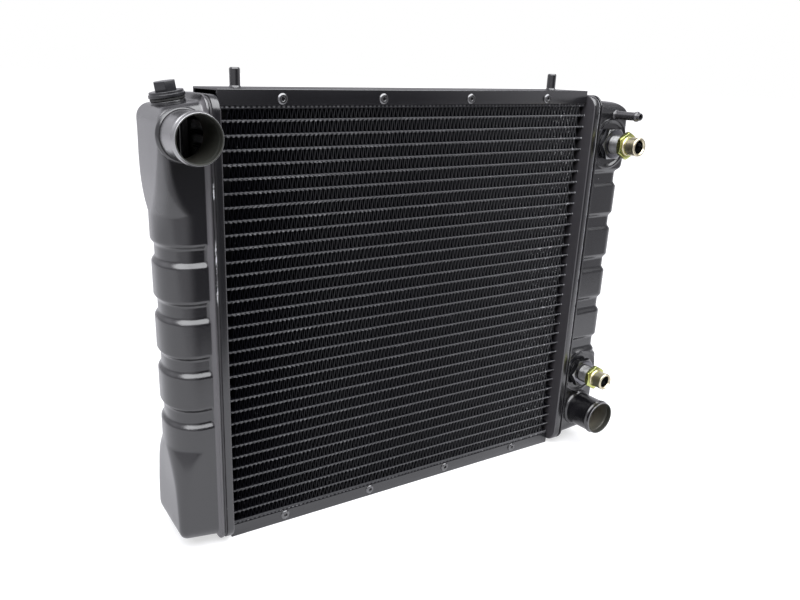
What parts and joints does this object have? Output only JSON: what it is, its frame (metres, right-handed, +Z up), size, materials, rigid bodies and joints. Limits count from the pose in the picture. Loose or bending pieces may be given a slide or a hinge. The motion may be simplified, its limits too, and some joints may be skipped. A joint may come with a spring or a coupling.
{
  "type": "car radiator",
  "caption": "Cross-flow car radiator: tube-and-fin core between soldered end tanks, with hose pipes, vent spigot, oil cooler unions, channels with locating pegs and a screw-in filler plug.",
  "frame": {"origin": "centre of the underside of the bottom channel", "axes": "+X along the tubes towards the outlet tank, -Y out of the front, +Z up"},
  "size_m": [0.5578, 0.1216, 0.4507],
  "materials": {
    "black_paint": "satin black paint",
    "core_paint": "matt black paint",
    "rivet_steel": "blackened",
    "cooler_brass": "plain",
    "dark_steel": "blackened",
    "bright_steel": "plain",
    "yellow_zinc": "yellow zinc",
    "plug_plastic": "moulded",
    "seal_rubber": "matt"
  },
  "bodies": {
    "radiator": {"inlet_tank": "black_paint", "outlet_tank": "black_paint", "inlet_header": "black_paint", "outlet_header": "black_paint", "top_channel": "black_paint", "bottom_channel": "black_paint", "top_core_plate": "black_paint", "bottom_core_plate": "black_paint", "peg_left": "black_paint", "peg_right": "black_paint", "filler_neck": "black_paint", "inlet_pipe": "black_paint", "outlet_pipe": "black_paint", "vent_spigot": "black_paint", "tube_pair_01": "core_paint", "tube_pair_02": "core_paint", "tube_pair_03": "core_paint", "tube_pair_04": "core_paint", "tube_pair_05": "core_paint", "tube_pair_06": "core_paint", "tube_pair_07": "core_paint", "tube_pair_08": "core_paint", "tube_pair_09": "core_paint", "tube_pair_10": "core_paint", "tube_pair_11": "core_paint", "tube_pair_12": "core_paint", "tube_pair_13": "core_paint", "tube_pair_14": "core_paint", "tube_pair_15": "core_paint", "tube_pair_16": "core_paint", "bottom_fin_row": "core_paint", "top_rivet_1": "rivet_steel", "top_rivet_2": "rivet_steel", "top_rivet_3": "rivet_steel", "top_rivet_4": "rivet_steel", "bottom_rivet_1": "rivet_steel", "bottom_rivet_2": "rivet_steel", "bottom_rivet_3": "rivet_steel", "bottom_rivet_4": "rivet_steel", "oil_cooler": "cooler_brass", "upper_lock_nut": "dark_steel", "upper_washer": "bright_steel", "upper_union": "yellow_zinc", "lower_lock_nut": "dark_steel", "lower_washer": "bright_steel", "lower_union": "yellow_zinc"},
    "seal": {"plug_seal": "seal_rubber"},
    "plug": {"filler_plug": "plug_plastic"}
  },
  "joints": [
    {"name": "plug_lift", "type": "slide", "parent": "radiator", "child": "seal", "axis": [-0.1564, 0, 0.9877], "range_m": [0, 0.009]},
    {"name": "plug_turn", "type": "hinge", "parent": "seal", "child": "plug", "pos_m": [-0.25, 0, 0.4213], "axis": [-0.1564, 0, 0.9877], "range_deg": [0, 1080]}
  ],
  "couplings": [
    {"joint": "plug_lift", "follows": "plug_turn", "m_per_rad": 0.00047746}
  ]
}
